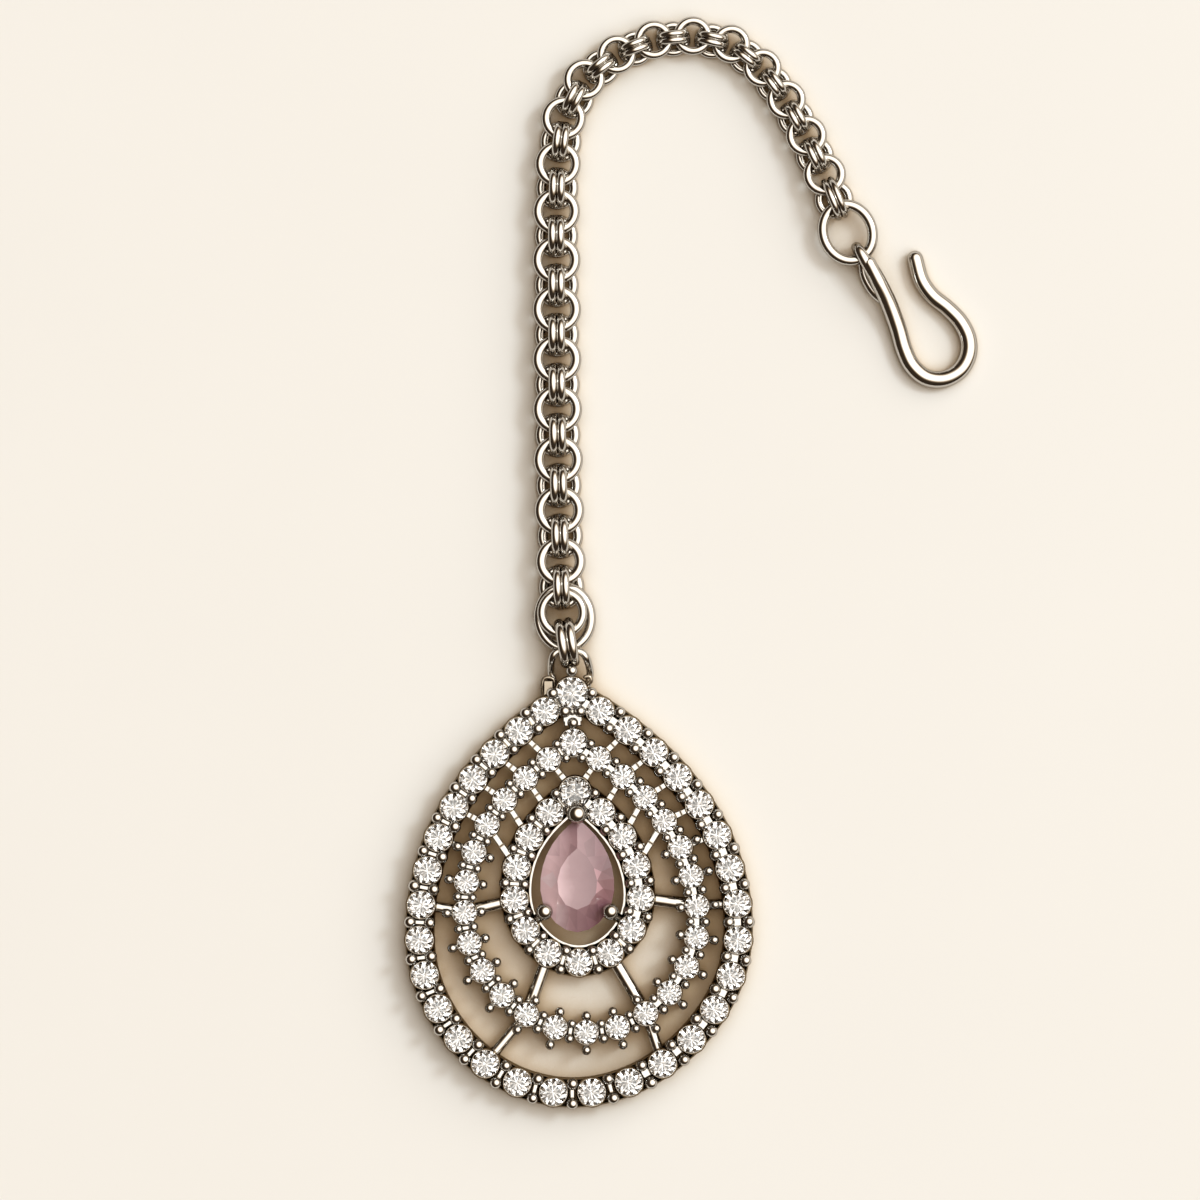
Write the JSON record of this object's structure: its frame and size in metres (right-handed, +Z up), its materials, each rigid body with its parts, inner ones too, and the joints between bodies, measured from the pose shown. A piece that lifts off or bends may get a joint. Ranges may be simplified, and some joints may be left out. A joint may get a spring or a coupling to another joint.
{
  "type": "maang tikka",
  "caption": "Forehead ornament lying flat: an openwork pear pendant with rows of round clear stones round a rose pear stone, on a chain of round and upright double links with a wire hook.",
  "frame": {"origin": "on the surface it lies on, under the middle of the whole piece", "axes": "+Z up, out of the pendant's face; the pendant hangs towards -Y and the chain bends round at +Y"},
  "size_m": [0.0516, 0.098, 0.0049],
  "materials": {
    "metal": "polished white metal",
    "rose_stone": "milky rose, polished facets",
    "clear_stone": "clear brilliant cut"
  },
  "bodies": {
    "root": {"pendant_frame": "metal", "pear_stone": "rose_stone", "pendant_jump_ring": "metal", "hook_jump_ring": "metal", "hook": "metal", "chain_ring_01": "metal", "chain_ring_02": "metal", "chain_ring_03": "metal", "chain_ring_04": "metal", "chain_ring_05": "metal", "chain_ring_06": "metal", "chain_ring_07": "metal", "chain_ring_08": "metal", "chain_ring_09": "metal", "chain_ring_10": "metal", "chain_ring_11": "metal", "chain_ring_12": "metal", "chain_ring_13": "metal", "chain_ring_14": "metal", "chain_ring_15": "metal", "chain_ring_16": "metal", "chain_ring_17": "metal", "chain_ring_18": "metal", "chain_ring_19": "metal", "chain_ring_20": "metal", "upright_link_01": "metal", "upright_link_02": "metal", "upright_link_03": "metal", "upright_link_04": "metal", "upright_link_05": "metal", "upright_link_06": "metal", "upright_link_07": "metal", "upright_link_08": "metal", "upright_link_09": "metal", "upright_link_10": "metal", "upright_link_11": "metal", "upright_link_12": "metal", "upright_link_13": "metal", "upright_link_14": "metal", "upright_link_15": "metal", "upright_link_16": "metal", "upright_link_17": "metal", "upright_link_18": "metal", "upright_link_19": "metal", "upright_link_20": "metal", "upright_link_21": "metal"}
  },
  "joints": []
}
